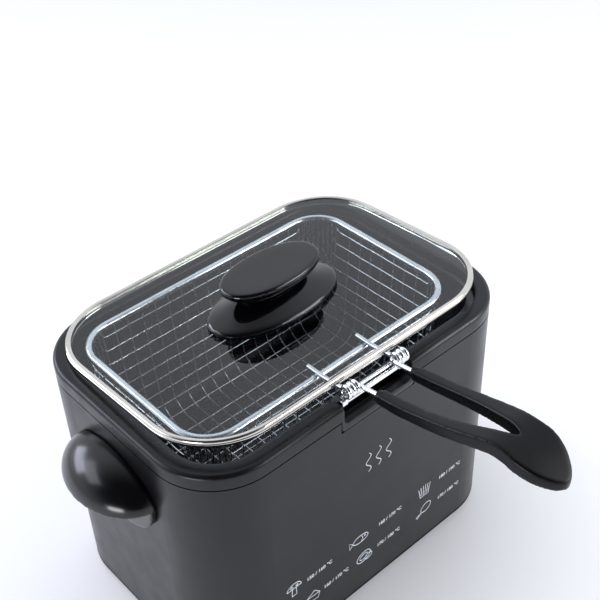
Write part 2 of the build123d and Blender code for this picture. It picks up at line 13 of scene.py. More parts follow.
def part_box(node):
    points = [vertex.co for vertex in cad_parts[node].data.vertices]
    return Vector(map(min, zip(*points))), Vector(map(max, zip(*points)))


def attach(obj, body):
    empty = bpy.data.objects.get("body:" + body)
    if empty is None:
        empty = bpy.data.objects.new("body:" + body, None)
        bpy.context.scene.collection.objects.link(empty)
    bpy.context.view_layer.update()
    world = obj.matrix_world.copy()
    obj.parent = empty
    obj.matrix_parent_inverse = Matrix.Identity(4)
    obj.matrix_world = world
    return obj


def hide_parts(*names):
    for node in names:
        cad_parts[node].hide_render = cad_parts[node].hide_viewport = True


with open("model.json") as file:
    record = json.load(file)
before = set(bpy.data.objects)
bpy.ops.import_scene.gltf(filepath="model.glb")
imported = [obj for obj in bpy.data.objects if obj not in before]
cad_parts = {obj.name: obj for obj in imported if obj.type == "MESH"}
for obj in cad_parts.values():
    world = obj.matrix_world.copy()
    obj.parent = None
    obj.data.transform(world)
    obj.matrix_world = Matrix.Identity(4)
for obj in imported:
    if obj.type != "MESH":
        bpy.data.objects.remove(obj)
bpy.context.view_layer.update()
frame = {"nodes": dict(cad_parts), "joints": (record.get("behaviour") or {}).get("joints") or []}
MM = 0.001


# ---------------------------------------------------------------- sizes read from the frame
def node_box(name):
    """Centre and size of a CAD node at rest."""
    low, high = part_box(name)
    return (low + high) / 2, high - low


housing_low, housing_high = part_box("outer_housing")
housing_size = housing_high - housing_low
rim_mid, rim_size = node_box("basket_rim_wire")
dial_mid, dial_size = node_box("thermostat_dial")
mesh_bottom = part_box("basket_mesh")[0].z
prong_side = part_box("handle_prongs")[1].x
grip_start_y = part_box("handle_grip")[1].y
bracket_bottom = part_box("basket_bracket")[0].z
fold = next(j for j in frame["joints"] if j["name"] == "handle_fold")
pivot = Vector(fold["pos_m"])
body_corner = 45 * MM
body_width, body_depth = housing_size.x, housing_size.y
front_y = housing_low.y
seam_z = housing_high.z + 0.3 * MM
rim_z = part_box("rim_collar")[1].z


# ---------------------------------------------------------------- mesh helpers
def add_object(name, data, material, body, replaces=()):
    """Link a new piece, give it its material and tie it to a CAD body."""
    piece = bpy.data.objects.new(name, data)
    bpy.context.scene.collection.objects.link(piece)
    if material:
        data.materials.clear()
        data.materials.append(material)
    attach(piece, body)
    if replaces:
        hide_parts(*replaces)
    return piece


def shade_smooth(mesh, angle=40):
    """Smooth shading with hard edges kept above an angle."""
    mesh.polygons.foreach_set("use_smooth", [True] * len(mesh.polygons))
    mesh.set_sharp_from_angle(angle=math.radians(angle))


def rounded_rect(width, depth, radius, arc_steps=16, run_steps=6):
    """Closed anticlockwise outline of a rounded rectangle, the same point count for any size."""
    points = []
    half_x, half_y = width / 2 - radius, depth / 2 - radius
    for quarter, (sx, sy) in enumerate(((1, -1), (1, 1), (-1, 1), (-1, -1))):
        start = math.radians(-90 + 90 * quarter)
        for step in range(arc_steps + 1):
            angle = start + math.pi / 2 * step / arc_steps
            points.append(Vector((sx * half_x + radius * math.cos(angle),
                                  sy * half_y + radius * math.sin(angle))))
        nx, ny = ((1, 1), (-1, 1), (-1, -1), (1, -1))[quarter]
        turn = start + math.pi / 2
        end = Vector((nx * half_x + radius * math.cos(turn), ny * half_y + radius * math.sin(turn)))
        here = points[-1].copy()
        points += [here.lerp(end, step / run_steps) for step in range(1, run_steps)]
    return points


def ring_mesh(name, rings, closed=True, cap_ends=False):
    """Mesh that bridges equal-length rings of points; closed joins the last ring to the first."""
    count = len(rings[0])
    verts = [p for ring in rings for p in ring]
    faces = []
    spans = len(rings) if closed else len(rings) - 1
    for r in range(spans):
        a, b = r * count, ((r + 1) % len(rings)) * count
        for i in range(count):
            j = (i + 1) % count
            faces.append((a + i, a + j, b + j, b + i))
    if cap_ends:
        faces.append(tuple(range(count - 1, -1, -1)))
        faces.append(tuple(range((len(rings) - 1) * count, len(rings) * count)))
    mesh = bpy.data.meshes.new(name)
    mesh.from_pydata(verts, [], faces)
    work = bmesh.new()
    work.from_mesh(mesh)
    bmesh.ops.recalc_face_normals(work, faces=work.faces)
    work.to_mesh(mesh)
    work.free()
    shade_smooth(mesh)
    return mesh


def arc_points(center, radius, start, end, steps):
    """Points of an arc in a section, angles in degrees."""
    return [(center[0] + radius * math.cos(math.radians(start + (end - start) * i / steps)),
             center[1] + radius * math.sin(math.radians(start + (end - start) * i / steps)))
            for i in range(steps + 1)]


def swept_frame(name, width, depth, radius, section, place=Matrix()):
    """Rounded-rectangle frame from a closed section of (inset, height) points in metres."""
    rings = []
    for inset, height in section:
        outline = rounded_rect(width - 2 * inset, depth - 2 * inset, max(radius - inset, 1 * MM))
        rings.append([place @ Vector((p.x, p.y, height)) for p in outline])
    return ring_mesh(name, rings)


def ellipse_ring(a, b, z, place, power, count=72):
    """Closed superellipse ring with half axes a and b at height z."""
    ring = []
    for i in range(count):
        t = 2 * math.pi * i / count
        c, s = math.cos(t), math.sin(t)
        x = a * math.copysign(abs(c) ** (2 / power), c)
        y = b * math.copysign(abs(s) ** (2 / power), s)
        ring.append(place @ Vector((x, y, z)))
    return ring


def wires(name, paths, radius, material, body, replaces=(), sides=3):
    """One curve piece with a round wire along every path, given as (points, closed loop or not)."""
    curve = bpy.data.curves.new(name, "CURVE")
    curve.dimensions = "3D"
    curve.bevel_depth = radius
    curve.bevel_resolution = sides
    curve.use_fill_caps = True
    for points, cyclic in paths:
        spline = curve.splines.new("POLY")
        spline.points.add(len(points) - 1)
        for target, p in zip(spline.points, points):
            target.co = (p[0], p[1], p[2], 1)
        spline.use_cyclic_u = cyclic
        spline.use_smooth = True
    return add_object(name, curve, material, body, replaces)


def smooth_path(corners, radius, steps=8):
    """Polyline through the corners with each inner corner rounded by an arc-like curve."""
    corners = [Vector(c) for c in corners]
    path = [corners[0]]
    for before, here, after in zip(corners, corners[1:], corners[2:]):
        reach = min(radius, (here - before).length * 0.45, (after - here).length * 0.45)
        a = here + (before - here).normalized() * reach
        b = here + (after - here).normalized() * reach
        for i in range(steps + 1):
            t = i / steps
            path.append(a * (1 - t) ** 2 + here * 2 * t * (1 - t) + b * t ** 2)
    path.append(corners[-1])
    return path


def apply_modifiers(piece):
    """Bake a piece's modifiers into its mesh."""
    graph = bpy.context.evaluated_depsgraph_get()
    graph.update()
    result = bpy.data.meshes.new_from_object(piece.evaluated_get(graph))
    piece.modifiers.clear()
    piece.data = result


def softened(name, node, voxel, rounds, material, body):
    """Copy of a CAD node with its edges rounded off as a moulding's are."""
    source = frame["nodes"][node].data
    mesh = source.copy()
    mesh.name = name
    piece = add_object(name, mesh, None, body, (node,))
    remesh = piece.modifiers.new("remesh", "REMESH")
    remesh.mode = "VOXEL"
    remesh.voxel_size = voxel
    relax = piece.modifiers.new("relax", "SMOOTH")
    relax.factor = 0.5
    relax.iterations = rounds
    apply_modifiers(piece)
    piece.data.materials.clear()
    piece.data.materials.append(material)
    shade_smooth(piece.data, 80)


def cut(piece, cutter_mesh, operation="DIFFERENCE"):
    """Boolean a helper mesh with a piece and drop the helper."""
    helper = bpy.data.objects.new("cutter", cutter_mesh)
    bpy.context.scene.collection.objects.link(helper)
    mod = piece.modifiers.new("cut", "BOOLEAN")
    mod.operation = operation
    mod.solver = "EXACT"
    mod.object = helper
    apply_modifiers(piece)
    bpy.data.objects.remove(helper)


def prism(name, outline, start, end):
    """Closed prism from an (x, z) outline between two y values."""
    rings = [[Vector((x, y, z)) for x, z in outline] for y in (start, end)]
    return ring_mesh(name, rings, closed=False, cap_ends=True)


# ---------------------------------------------------------------- materials
class Look:
    """Node material round one Principled shader, with constants on its sockets."""

    def __init__(self, name, color, roughness, metallic=0.0, coat=0.0, ior=1.5):
        self.material = bpy.data.materials.new(name)
        self.material.use_nodes = True
        self.nodes = self.material.node_tree.nodes
        self.links = self.material.node_tree.links
        self.shader = self.nodes["Principled BSDF"]
        self.set("Base Color", (*color, 1))
        self.set("Roughness", roughness)
        self.set("Metallic", metallic)
        self.set("Coat Weight", coat)
        self.set("Coat Roughness", 0.05)
        self.set("IOR", ior)
        self.coords = self.nodes.new("ShaderNodeTexCoord").outputs["Object"]
        self.bump_input = None

    def set(self, socket, value):
        """Set a constant on a shader socket."""
        self.shader.inputs[socket].default_value = value

    def noise(self, scale, detail, stretch=(1, 1, 1)):
        """Noise in object space; scale is features per metre."""
        mapping = self.nodes.new("ShaderNodeMapping")
        mapping.inputs["Scale"].default_value = stretch
        self.links.new(self.coords, mapping.inputs["Vector"])
        tex = self.nodes.new("ShaderNodeTexNoise")
        tex.inputs["Scale"].default_value = scale
        tex.inputs["Detail"].default_value = detail
        self.links.new(mapping.outputs["Vector"], tex.inputs["Vector"])
        return tex.outputs["Fac"]

    def cells(self, scale):
        """Distance to the nearest cell point, for grain."""
        tex = self.nodes.new("ShaderNodeTexVoronoi")
        tex.inputs["Scale"].default_value = scale
        self.links.new(self.coords, tex.inputs["Vector"])
        return tex.outputs["Distance"]

    def ramp(self, source, low, high, from_low=0.3, from_high=0.7):
        """Map a texture's range to low..high."""
        node = self.nodes.new("ShaderNodeMapRange")
        node.inputs["From Min"].default_value = from_low
        node.inputs["From Max"].default_value = from_high
        node.inputs["To Min"].default_value = low
        node.inputs["To Max"].default_value = high
        self.links.new(source, node.inputs["Value"])
        return node.outputs["Result"]

    def vary_roughness(self, source, low, high):
        """Run the roughness between two values with a texture."""
        self.links.new(self.ramp(source, low, high), self.shader.inputs["Roughness"])

    def vary_color(self, source, first, second, from_low=0.35, from_high=0.65):
        """Blend two colours by a texture."""
        mix = self.nodes.new("ShaderNodeMix")
        mix.data_type = "RGBA"
        mix.inputs["A"].default_value = (*first, 1)
        mix.inputs["B"].default_value = (*second, 1)
        self.links.new(self.ramp(source, 0, 1, from_low, from_high), mix.inputs["Factor"])
        self.links.new(mix.outputs["Result"], self.shader.inputs["Base Color"])

    def bump(self, source, strength, distance):
        """Add a bump layer on top of the ones already there."""
        node = self.nodes.new("ShaderNodeBump")
        node.inputs["Strength"].default_value = strength
        node.inputs["Distance"].default_value = distance
        self.links.new(source, node.inputs["Height"])
        if self.bump_input:
            self.links.new(self.bump_input, node.inputs["Normal"])
        self.bump_input = node.outputs["Normal"]
        self.links.new(self.bump_input, self.shader.inputs["Normal"])


def enamel_black():
    """Satin charcoal stove enamel: fine orange peel and a faint metallic fleck."""
    look = Look("housing_black", (0.0030, 0.0030, 0.0038), 0.34, ior=1.41)
    look.vary_color(look.noise(2600, 2), (0.0022, 0.0022, 0.0028), (0.0048, 0.0046, 0.0058))
    look.vary_roughness(look.noise(60, 4), 0.29, 0.37)
    look.bump(look.noise(1500, 2), 0.12, 0.00006)
    return look.material


def moulded_black(name, color, roughness, grain, ior=1.42):
    """Satin moulded plastic with a fine spark-erosion grain."""
    look = Look(name, color, roughness, ior=ior)
    lighter = tuple(c * 1.25 for c in color)
    look.vary_color(look.noise(40, 3), color, lighter)
    look.vary_roughness(look.noise(90, 4), roughness - 0.05, roughness + 0.06)
    look.bump(look.cells(2200), grain, 0.00005)
    return look.material


def polished_black(name, low=0.05, high=0.11):
    """Polished black plastic with faint wipe marks."""
    look = Look(name, (0.0015, 0.0015, 0.0022), high)
    look.vary_roughness(look.noise(70, 5, (1, 1, 3)), low, high)
    look.bump(look.noise(45, 2), 0.03, 0.0002)
    return look.material


def bright_metal(name, color, low, high, stretch=(1, 1, 1), scale=300):
    """Plated or polished metal whose roughness runs with its finish."""
    look = Look(name, color, (low + high) / 2, metallic=1.0)
    look.vary_roughness(look.noise(scale, 4, stretch), low, high)
    look.vary_color(look.noise(scale / 4, 3), color, tuple(c * 0.86 for c in color))
    look.bump(look.noise(scale * 2, 3, stretch), 0.03, 0.00004)
    return look.material


def plain(name, color, roughness, metallic=0.0, scale=250):
    """Small hidden parts: colour and roughness with mild variation."""
    look = Look(name, color, roughness, metallic)
    look.vary_color(look.noise(scale, 3), color, tuple(c * 0.8 for c in color))
    look.vary_roughness(look.noise(scale / 2, 3), max(roughness - 0.07, 0.04), roughness + 0.07)
    look.bump(look.noise(scale * 3, 2), 0.06, 0.00005)
    return look.material


def pot_enamel():
    """Black vitreous enamel with fine pale speckle."""
    look = Look("pot_enamel", (0.010, 0.010, 0.012), 0.24)
    look.vary_color(look.noise(1100, 1), (0.009, 0.009, 0.011), (0.055, 0.057, 0.065), 0.66, 0.74)
    look.vary_roughness(look.noise(120, 3), 0.18, 0.30)
    look.bump(look.noise(300, 2), 0.05, 0.0001)
    return look.material


def clear_glass():
    """Clear lid glass with faint wipe marks, which mirrors by Fresnel on its outward faces."""
    material = bpy.data.materials.new("lid_glass")
    material.use_nodes = True
    nodes, links = material.node_tree.nodes, material.node_tree.links
    nodes.remove(nodes["Principled BSDF"])
    clear = nodes.new("ShaderNodeBsdfTransparent")
    clear.inputs["Color"].default_value = (0.90, 0.925, 0.93, 1)
    mirror = nodes.new("ShaderNodeBsdfGlossy")
    mirror.inputs["Color"].default_value = (1, 1, 1, 1)
    coords = nodes.new("ShaderNodeTexCoord")
    noise = nodes.new("ShaderNodeTexNoise")
    noise.inputs["Scale"].default_value = 35
    noise.inputs["Detail"].default_value = 4
    links.new(coords.outputs["Object"], noise.inputs["Vector"])
    spread = nodes.new("ShaderNodeMapRange")
    spread.inputs["To Min"].default_value = 0.0
    spread.inputs["To Max"].default_value = 0.06
    links.new(noise.outputs["Fac"], spread.inputs["Value"])
    links.new(spread.outputs["Result"], mirror.inputs["Roughness"])
    fresnel = nodes.new("ShaderNodeFresnel")
    fresnel.inputs["IOR"].default_value = 1.5
    geometry = nodes.new("ShaderNodeNewGeometry")
    outward = nodes.new("ShaderNodeMath")
    outward.operation = "SUBTRACT"
    outward.inputs[0].default_value = 1
    links.new(geometry.outputs["Backfacing"], outward.inputs[1])
    amount = nodes.new("ShaderNodeMath")
    amount.operation = "MULTIPLY"
    links.new(fresnel.outputs["Fac"], amount.inputs[0])
    links.new(outward.outputs["Value"], amount.inputs[1])
    mix = nodes.new("ShaderNodeMixShader")
    links.new(amount.outputs["Value"], mix.inputs["Fac"])
    links.new(clear.outputs["BSDF"], mix.inputs[1])
    links.new(mirror.outputs["BSDF"], mix.inputs[2])
    links.new(mix.outputs["Shader"], nodes["Material Output"].inputs["Surface"])
    return material


def amber_lens():
    """Amber lamp lens with a faceted inside."""
    look = Look("lamp_amber", (0.75, 0.22, 0.03), 0.08, coat=0.5)
    look.set("Transmission Weight", 0.5)
    look.bump(look.cells(900), 0.5, 0.0003)
    return look.material


HOUSING = enamel_black()
COLLAR = moulded_black("collar_plastic", (0.0035, 0.0035, 0.0042), 0.30, 0.10, 1.40)
BASE = moulded_black("base_plastic", (0.010, 0.010, 0.011), 0.5, 0.2)
# painted shade: near-black, barely reflecting material for the shadow line in the groove above the
# base strip
SEAM_SHADE = moulded_black("base_seam_shade", (0.0020, 0.0020, 0.0024), 0.50, 0.05, 1.15)
GRIP = moulded_black("grip_plastic", (0.0022, 0.0022, 0.0028), 0.30, 0.14, 1.29)
BEZEL = moulded_black("bezel_plastic", (0.020, 0.020, 0.023), 0.42, 0.2)
GLOSS = polished_black("handle_gloss", 0.17, 0.23)
KNOB = polished_black("knob_gloss", 0.03, 0.06)
DIAL = polished_black("dial_plastic")
POT = pot_enamel()
GLASS = clear_glass()
LENS = amber_lens()
STEEL = bright_metal("lid_steel", (0.66, 0.635, 0.58), 0.06, 0.14, (1, 1, 6), 160)
CHROME = bright_metal("bracket_chrome", (0.86, 0.87, 0.88), 0.05, 0.12)
TINNED = bright_metal("plated_wire", (0.84, 0.86, 0.90), 0.16, 0.30)
ZINC = plain("zinc_steel", (0.55, 0.56, 0.58), 0.35, 1.0)
RUBBER = moulded_black("feet_rubber", (0.018, 0.018, 0.018), 0.75, 0.3)
PRINT = plain("front_print", (0.72, 0.77, 0.82), 0.55)

NODE_LOOKS = {
    "outer_housing": HOUSING,
    "base_plate": BASE,
    "rubber_feet": RUBBER,
    "cord_gland": RUBBER,
    "tie_rods": ZINC,
    "base_screws": ZINC,
    "element_clamp": ZINC,
    "shield_screws": ZINC,
    "left_handle_screws": ZINC,
    "right_handle_screws": ZINC,
    "knob_washer": ZINC,
    "knob_screw": ZINC,
    "thermostat_shaft": ZINC,
    "inner_pot": POT,
    "heat_spreader": plain("spreader_aluminium", (0.72, 0.73, 0.74), 0.4, 1.0),
    "heating_element": plain("element_steel", (0.34, 0.30, 0.28), 0.38, 1.0, 90),
    "heat_shield": bright_metal("shield_steel", (0.6, 0.61, 0.62), 0.25, 0.4, (1, 12, 1)),
    "thermal_cutout": plain("cutout_ceramic", (0.72, 0.68, 0.58), 0.6),
    "thermostat_sensor": plain("sensor_copper", (0.72, 0.38, 0.22), 0.3, 1.0),
    "thermostat_body": plain("control_plastic", (0.66, 0.64, 0.58), 0.5),
    "pilot_lamp_body": plain("lamp_case", (0.66, 0.64, 0.58), 0.5),
    "terminal_block": plain("terminal_plastic", (0.78, 0.77, 0.72), 0.45),
    "dial_bezel": BEZEL,
    "pilot_lamp_lens": LENS,
    "basket_rim_wire": TINNED,
    "handle_prongs": CHROME,
    "basket_bracket": CHROME,
    "lid_glass": GLASS,
}
for node_name, look in NODE_LOOKS.items():
    data = frame["nodes"][node_name].data
    data.materials.clear()
    data.materials.append(look)


# ---------------------------------------------------------------- rim collar
collar_wall = 10 * MM
skirt_outer, skirt_inner, skirt_depth = 1.5 * MM, 3.5 * MM, 9 * MM
ledge_inset, ledge_top, ledge_bottom = 13.2 * MM, 182 * MM, 179.5 * MM


def collar_section():
    """Section of the collar from its outer wall inwards: (inset, height)."""
    fillet, lip = 3.2 * MM, 1.4 * MM
    section = [(skirt_outer, seam_z - skirt_depth), (skirt_outer, seam_z + 0.2 * MM),
               (0.35 * MM, seam_z + 0.2 * MM), (0.0, seam_z + 0.6 * MM)]
    section += arc_points((fillet, rim_z - fillet), fillet, 180, 90, 8)
    section += arc_points((collar_wall - lip, rim_z - lip), lip, 90, 0, 5)
    section += [(collar_wall, ledge_top + 0.2 * MM), (collar_wall + 0.2 * MM, ledge_top),
                (ledge_inset, ledge_top), (ledge_inset, ledge_bottom),
                (collar_wall - 0.5 * MM, ledge_bottom), (skirt_inner, seam_z),
                (skirt_inner, seam_z - skirt_depth)]
    return section


def rounded_notch(center, half, floor, top, radius):
    """Outline of a slot open at the top with rounded lower corners."""
    outline = [(center - half, top)]
    outline += arc_points((center - half + radius, floor + radius), radius, 180, 270, 6)
    outline += arc_points((center + half - radius, floor + radius), radius, 270, 360, 6)
    outline.append((center + half, top))
    return outline


notch_x = 1.5 * MM
tab_half, tab_bottom, tab_depth = 30.8 * MM, 169.2 * MM, 8 * MM
slot_half, slot_floor = 28.8 * MM, 174 * MM
collar_frame = swept_frame("collar_moulding", body_width, body_depth, body_corner, collar_section())
collar = add_object("collar_moulding", collar_frame, COLLAR, "body",
                    ("rim_collar",))
tab_outline = rounded_notch(notch_x, tab_half, tab_bottom, seam_z + 3 * MM, 3 * MM)
cut(collar, prism("tab", tab_outline, front_y + tab_depth, front_y + 0.02 * MM), "UNION")
slot_outline = rounded_notch(notch_x, slot_half, slot_floor, rim_z + 4 * MM, 4.5 * MM)
cut(collar, prism("slot", slot_outline, front_y + collar_wall + 0.1 * MM, front_y - 3 * MM))
collar.data.materials.clear()
collar.data.materials.append(COLLAR)
edge = collar.modifiers.new("edge", "BEVEL")
edge.width = 0.7 * MM
edge.segments = 2
edge.angle_limit = math.radians(50)
apply_modifiers(collar)
shade_smooth(collar.data, 35)

# painted shade: a near-black band stands for the shadow in the groove between the housing and the
# base strip
seam_shade_out, seam_shade_in, seam_shade_half = -0.12 * MM, 0.6 * MM, 0.7 * MM
seam_shade_bottom, seam_shade_top = housing_low.z - seam_shade_half, housing_low.z + seam_shade_half
seam_shade_section = [(seam_shade_out, seam_shade_bottom), (seam_shade_out, seam_shade_top), (seam_shade_in, seam_shade_top),
                (seam_shade_in, seam_shade_bottom)]
add_object("base_seam_shade", swept_frame("base_seam_shade", body_width, body_depth, body_corner, seam_shade_section),
           SEAM_SHADE, "body")

# ---------------------------------------------------------------- lid
tilt = math.radians(3)
lid_top = Vector((1 * MM, 3.5 * MM, 199 * MM))
lid_place = Matrix.Translation(lid_top) @ Matrix.Rotation(-tilt, 4, "X")
lid_width, lid_depth, lid_corner = 250 * MM, 171 * MM, 48 * MM
ring_section = [(1.2 * MM, -5 * MM), (0.3 * MM, -4.7 * MM), (0.0, -4.0 * MM), (0.0, -2.6 * MM),
                (0.45 * MM, -2.3 * MM), (0.12 * MM, -1.95 * MM)]
ring_section += arc_points((1.65 * MM, -1.55 * MM), 1.55 * MM, 180, 80, 7)
ring_section += [(2.6 * MM, -0.18 * MM), (3.2 * MM, -0.5 * MM), (3.6 * MM, -0.85 * MM),
                 (3.5 * MM, -1.02 * MM), (1.05 * MM, -1.02 * MM), (1.05 * MM, -3.95 * MM),
                 (3.3 * MM, -3.95 * MM), (3.6 * MM, -4.4 * MM), (3.0 * MM, -5 * MM)]
band = swept_frame("lid_band", lid_width, lid_depth, lid_corner, ring_section, lid_place)
add_object("lid_band", band, STEEL, "lid", ("lid_ring",))

glass_top = -1.05 * MM
knob_power = 2.15


def oval_stack(name, levels):
    """Closed solid through superellipse levels of (half length, half width, height) in mm."""
    rings = [ellipse_ring(a * MM, b * MM, glass_top + z * MM, lid_place, knob_power)
             for a, b, z in levels]
    mesh = ring_mesh(name, rings, closed=False, cap_ends=True)
    shade_smooth(mesh, 60)
    return mesh


foot_levels = [(46.5, 25.0, 0.05), (48.6, 26.6, 0.4), (49.0, 27.0, 1.4), (48.9, 26.9, 3.2),
               (48.3, 26.5, 4.1), (46.8, 25.6, 4.9), (44.0, 23.8, 5.9), (40.0, 21.2, 7.3),
               (35.5, 18.2, 9.0), (31.0, 15.2, 10.7), (27.4, 12.8, 12.0), (25.4, 11.4, 12.5),
               (23.0, 10.0, 12.55)]
disc_levels = [(22.6, 10.0, 12.65), (22.0, 9.7, 13.6), (21.6, 9.4, 16.0), (22.0, 9.7, 18.4),
               (23.6, 10.8, 19.6), (27.6, 13.6, 20.3), (33.0, 17.4, 20.8), (35.9, 19.6, 21.5),
               (36.8, 20.3, 22.7), (37.0, 20.5, 24.2), (36.8, 20.3, 25.7), (36.2, 19.9, 26.5),
               (35.2, 19.1, 26.95), (33.4, 17.8, 27.05), (24.0, 12.6, 26.95), (10.0, 5.2, 26.85)]
for piece_name, levels, node in (("knob_foot", foot_levels, "lid_knob_base"),
                                 ("knob_disc", disc_levels, "lid_knob_cap")):
    add_object(piece_name, oval_stack(piece_name, levels), KNOB, "lid", (node,))

# ---------------------------------------------------------------- basket
pitch = 10.8 * MM
wire_r = 0.52 * MM
basket_mid = Vector((rim_mid.x, rim_mid.y))
basket_half = Vector((rim_size.x / 2, rim_size.y / 2))
basket_corner = 27 * MM
rim_wire_z = rim_mid.z
floor_z = mesh_bottom + 0.8 * MM
wall_draft = 7 * MM
bend = 17 * MM
wall_start = 1.9 * MM
straight_drop = rim_wire_z - floor_z - bend


def wall_profile(depth):
    """(inset from the basket's outline, height) at an arc length below the rim wire."""
    slope = math.hypot(straight_drop, wall_draft)
    if depth <= slope:
        share = depth / slope
        return wall_start + wall_draft * share, rim_wire_z - straight_drop * share
    angle = min((depth - slope) / bend, math.pi / 2)
    return (wall_start + wall_draft + bend * (1 - math.cos(angle)),
            floor_z + bend * (1 - math.sin(angle)))


wall_arc = math.hypot(straight_drop, wall_draft) + bend * math.pi / 2
rows = int(wall_arc // pitch)
run_half = (basket_half.x - basket_corner, basket_half.y - basket_corner)
layer_gap = 0.55 * MM
profile_steps, corner_steps = 26, 14
corner_power = 3.2


def crossing_wires(axis, nudge):
    """Wires that run down one wall, over the floor and up the other wall.

    Axis 0 gives wires in planes of constant x, axis 1 in planes of constant y.
    """
    paths = []
    lanes = int(run_half[axis] // pitch)
    other = basket_half[1 - axis]
    for lane in range(-lanes, lanes + 1):
        side_points = []
        for step in range(profile_steps + 1):
            inset, height = wall_profile(wall_arc * step / profile_steps)
            side_points.append((other - inset, height))
        points = []
        wobble = 0.25 * MM * math.sin(lane * 2.3)
        for reach, height in side_points:
            points.append((-(reach - nudge), height + nudge * 0.6))
        for reach, height in reversed(side_points):
            points.append((reach - nudge, height + nudge * 0.6))
        offset = lane * pitch + wobble
        path = []
        for reach, height in points:
            x, y = (offset, reach) if axis == 0 else (reach, offset)
            path.append((basket_mid.x + x, basket_mid.y + y, height))
        paths.append((path, False))
    return paths


def corner_wires():
    """Wires along a wall that turn up to the rim in each corner, where the mesh bunches."""
    paths = []
    for axis in (0, 1):
        along, across = run_half[axis], run_half[1 - axis]
        nudge = layer_gap if axis else -layer_gap
        for wall in (-1, 1):
            for row in range(1, rows + 1):
                depth = row * pitch - 2 * MM
                reach = math.radians(90) * (0.10 + 0.84 * (row - 0.5) / rows)
                corner = []
                for step in range(corner_steps + 1):
                    share = step / corner_steps
                    rise = math.sin(share * math.pi / 2)
                    turned = reach * rise
                    level = depth * max(1 - rise ** corner_power, 0) ** (1 / corner_power)
                    ripple = 0.5 * MM * math.sin(row * 1.7 + share * 9) * share
                    inset, height = wall_profile(level)
                    radius = basket_corner - inset + nudge + ripple
                    corner.append((along + radius * math.sin(turned),
                                   across + radius * math.cos(turned), height))
                inset, height = wall_profile(depth)
                lane = basket_half[1 - axis] - inset + nudge
                middle = [(u * along, lane, height + 0.2 * MM * math.sin(u * 7 + row))
                          for u in (-0.8, -0.5, -0.2, 0.1, 0.4, 0.7)]
                left = [(-a, b, z) for a, b, z in reversed(corner)]
                path = []
                for a, b, z in left + middle + corner:
                    x, y = (a, wall * b) if axis == 0 else (wall * b, a)
                    path.append((basket_mid.x + x, basket_mid.y + y, z))
                paths.append((path, False))
    return paths


mesh_paths = crossing_wires(0, layer_gap) + crossing_wires(1, -layer_gap) + corner_wires()
wires("basket_wires", mesh_paths, wire_r, TINNED, "basket", ("basket_mesh",), 2)

# ---------------------------------------------------------------- bracket
# wire wound twice round each pin, a strut on each side and a second crossbar
coil_wire = 1.35 * MM
coil_r = 3.35 * MM
coil_steps = 36
coil_paths = []
for side in (-1, 1):
    for x in (side * 17.1 * MM, side * 23.7 * MM):
        loop = []
        for step in range(coil_steps):
            turn = 2 * math.pi * step / coil_steps
            loop.append((x + 0.3 * MM * math.sin(turn), pivot.y + coil_r * math.cos(turn),
                         pivot.z + coil_r * math.sin(turn)))
        coil_paths.append((loop, True))
    strut_x = side * 24.4 * MM
    strut = [(strut_x, pivot.y + coil_r * 0.9, pivot.z - 1.2 * MM),
             (strut_x, pivot.y + 4.6 * MM, pivot.z - 4.5 * MM),
             (side * 22 * MM, pivot.y + 4.9 * MM, bracket_bottom + 4.4 * MM)]
    coil_paths.append((smooth_path(strut, 3 * MM), False))
crossbar = [(x, pivot.y + 6.4 * MM, bracket_bottom + 3.8 * MM) for x in (-20 * MM, 20 * MM)]
coil_paths.append((crossbar, False))
wires("bracket_coils", coil_paths, coil_wire, CHROME, "basket", (), 4)

# ---------------------------------------------------------------- side handles, grip, dial
softened("left_grip_cup", "left_side_handle", 0.9 * MM, 6, GLOSS, "body")
softened("right_grip_cup", "right_side_handle", 0.9 * MM, 6, GLOSS, "body")
softened("fork_grip", "handle_grip", 0.6 * MM, 36, GRIP, "basket_handle")
prong_slope = 0.15
prong_run = Vector((0, -1, prong_slope)).normalized()
ferrules = []
for side in (-1, 1):
    start = Vector(((prong_side - 11 * MM) * side, grip_start_y,
                    pivot.z + prong_slope * (pivot.y - grip_start_y)))
    ferrules.append(([start - prong_run * 0.6 * MM, start + prong_run * 2.2 * MM], False))
wires("grip_ferrules", ferrules, 3.9 * MM, GRIP, "basket_handle", (), 6)


def fluted_dial():
    """Dial with a flared skirt, finger flutes and a domed face."""
    rings = []
    back_x = dial_mid.x - dial_size.x / 2
    skirt_r = dial_size.y / 2
    flutes, count = 18, 144
    # levels of (how far inside the skirt, height, depth of the flutes) in mm
    for inside, height, flute in ((1, 0, 0), (0, 0.5, 0), (0, 2.2, 0), (1, 3.2, 0.1),
                                  (3.4, 4.4, 0.7), (4.2, 12.4, 0.7), (4.9, 13.6, 0.4),
                                  (6.5, 14, 0), (12, 13.6, 0)):
        ring = []
        for i in range(count):
            t = 2 * math.pi * i / count
            reach = skirt_r - inside * MM - flute * MM * (0.5 + 0.5 * math.cos(flutes * t))
            ring.append(Vector((back_x + height * MM, reach * math.cos(t),
                                dial_mid.z + reach * math.sin(t))))
        rings.append(ring)
    mesh = ring_mesh("dial_knob", rings, closed=False, cap_ends=True)
    shade_smooth(mesh, 50)
    return mesh


add_object("dial_knob", fluted_dial(), DIAL, "dial", ("thermostat_dial",))
face_x = dial_mid.x + dial_size.x / 2 - 2.0 * MM
pointer_inner, pointer_outer, pointer_lift = dial_mid.z + 5 * MM, dial_mid.z + 14.5 * MM, 0.12 * MM
pointer_rings = [[Vector((x, -0.9 * MM, pointer_inner)), Vector((x, 0.9 * MM, pointer_inner)),
                  Vector((x, 0.6 * MM, pointer_outer)), Vector((x, -0.6 * MM, pointer_outer))]
                 for x in (face_x, face_x + pointer_lift)]
add_object("dial_pointer", ring_mesh("dial_pointer", pointer_rings, closed=False, cap_ends=True),
           PRINT, "dial")


